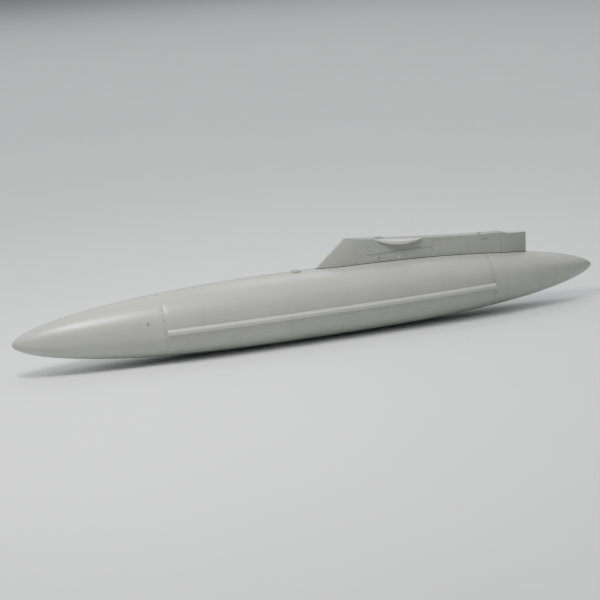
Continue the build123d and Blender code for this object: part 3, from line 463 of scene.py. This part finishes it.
PAINT = (0.270, 0.279, 0.245)
MATERIALS = {
    "tank_skin": sprayed_paint("tank_paint", PAINT),
    # pylon paint is the tank's paint made darker: painted shade for the shaded pylon sides
    "pylon_skin": sprayed_paint("pylon_paint_painted_shade", (0.235, 0.244, 0.214), wear=0.6),
    # strake paint is the tank's paint made lighter: a painted highlight for the strake's lit upper face
    "strake": sprayed_paint("strake_paint_painted_highlight", (0.310, 0.320, 0.284), wear=0.7),
    # panel paint is the tank's paint made darker: painted shade for the shaded pylon sides the panels sit on
    "panel": sprayed_paint("panel_paint_painted_shade", (0.242, 0.251, 0.220), mottle=0.07, wear=0.8),
    "structure": primed_alloy("chromate_primer", (0.42, 0.47, 0.25)),
    "pipe": bare_metal("drawn_alloy", (0.72, 0.73, 0.74), 0.30),
    "steel": bare_metal("plated_steel", (0.46, 0.46, 0.48), 0.36),
    "fastener": bare_metal("fastener_steel", (0.44, 0.44, 0.43), 0.40, brush=(1, 1, 1)),
    "seal": moulded("black_seal", (0.030, 0.030, 0.031), 0.62),
    # pad tone, well lighter than the paint, is partly the pad's own composite and partly a painted highlight
    # for its lit top face
    "wing_pad": moulded("composite_pad_painted_highlight", (0.38, 0.39, 0.35), 0.60, grain=500.0, dust=0.08),
    "float": foam("float_foam", (0.72, 0.66, 0.48)),
    "connector": moulded("connector_insert", (0.045, 0.045, 0.05), 0.38),
}


# ---------------------------------------------------------------- finish of the CAD pieces
WELD_DISTANCE = 0.00002
PLAIN_EDGE, FINE_EDGE = 0.0009, 0.0003
EDGE_ANGLE, FLAT_FACE_WEIGHT = radians(24), 70
FINE_NODES = (
    "door_latch_left", "door_latch_right", "service_panel_screws", "tank_joint_screws", "vent_grille",
    "bonding_stud", "earthing_stud", "filler_lever", "filler_seal", "drain_spring", "drain_poppet",
    "door_hinge_pins", "electrical_connector",
)


def dress_cad_nodes():
    """Give every CAD node its material, rounded edges and smooth shading."""
    for part in frame["record"]["subparts"]:
        node = frame["nodes"][part["node"]]
        material = MATERIALS[part["material_slot"]]
        for held in node.material_slots:
            held.material = material
        node.data.shade_smooth()
        weld = node.modifiers.new("weld", "WELD")
        weld.merge_threshold = WELD_DISTANCE
        bevel = node.modifiers.new("edge", "BEVEL")
        bevel.width = FINE_EDGE if part["node"] in FINE_NODES else PLAIN_EDGE
        bevel.segments = 2
        bevel.limit_method, bevel.angle_limit = "ANGLE", EDGE_ANGLE
        normals = node.modifiers.new("normals", "WEIGHTED_NORMAL")
        normals.weight = FLAT_FACE_WEIGHT


# ---------------------------------------------------------------- studio
CAMERA_PLACE = (-4.706, -12.964, 3.300)
CAMERA_RIGHT = (0.95183, -0.30135, -0.05655)
CAMERA_UP = (0.13411, 0.24334, 0.96062)
CAMERA_BACK = (-0.27572, -0.92194, 0.27204)
CAMERA_LENS, CAMERA_SENSOR = 87.45, 36.0
FAR_LIMIT = 200.0

# place, target, size, power in watts, colour
SOFTBOXES = {
    "key": ((-3.9, -1.9, 5.2), (-1.2, 0, -0.5), (2.4, 1.6), 640, (1.0, 0.985, 0.96)),
    "overhead": ((0.0, 14.0, 14.0), (0.0, 14.0, 0.0), (50.0, 56.0), 11000, (1.0, 0.995, 0.985)),
    "fill": ((4.5, -6.5, 3.0), (-0.6, 0.0, -0.5), (4.0, 3.0), 25, (0.93, 0.96, 1.0)),
    "rim": ((1.5, 3.0, 5.5), (-0.6, 0.0, -0.5), (4.0, 2.0), 160, (0.95, 0.97, 1.0)),
}
SKY_COLOUR, SKY_STRENGTH = (0.90, 0.93, 0.97, 1), 0.22
FLOOR_HALF_WIDTH, FLOOR_CELLS, FLOOR_GAP = 90.0, 24, 0.001


def aim(place, target):
    """Matrix that puts a light at a place, facing a target."""
    place, target = Vector(place), Vector(target)
    return Matrix.Translation(place) @ (target - place).to_track_quat("-Z", "Y").to_matrix().to_4x4()


def softbox(name, place, target, size, power, colour):
    data = bpy.data.lights.new(name, "AREA")
    data.shape, data.size, data.size_y = "RECTANGLE", size[0], size[1]
    data.energy, data.color = power, colour
    made = bpy.data.objects.new(name, data)
    made.matrix_world = aim(place, target)
    bpy.context.scene.collection.objects.link(made)


def lay_floor():
    mesh = bmesh.new()
    bmesh.ops.create_grid(mesh, x_segments=FLOOR_CELLS, y_segments=FLOOR_CELLS, size=FLOOR_HALF_WIDTH)
    floor = piece_from(mesh, "floor")
    floor.location = (0, 0, cad_bounds[0][2] - FLOOR_GAP)
    floor.data.materials.append(studio_floor())


def light_the_sky():
    world = bpy.data.worlds.new("studio")
    world.use_nodes = True
    background = world.node_tree.nodes["Background"]
    background.inputs["Color"].default_value = SKY_COLOUR
    background.inputs["Strength"].default_value = SKY_STRENGTH
    bpy.context.scene.world = world


def place_camera():
    data = bpy.data.cameras.new("camera")
    data.lens, data.sensor_width = CAMERA_LENS, CAMERA_SENSOR
    data.clip_end = FAR_LIMIT
    camera = bpy.data.objects.new("camera", data)
    turn = Matrix((CAMERA_RIGHT, CAMERA_UP, CAMERA_BACK)).transposed().to_4x4()
    camera.matrix_world = Matrix.Translation(CAMERA_PLACE) @ turn
    bpy.context.scene.collection.objects.link(camera)
    bpy.context.scene.camera = camera


dress_cad_nodes()
tank_skins(MATERIALS["tank_skin"])
drain_spring(MATERIALS["steel"])
lay_floor()
for name, box_light in SOFTBOXES.items():
    softbox(name, *box_light)
light_the_sky()
place_camera()
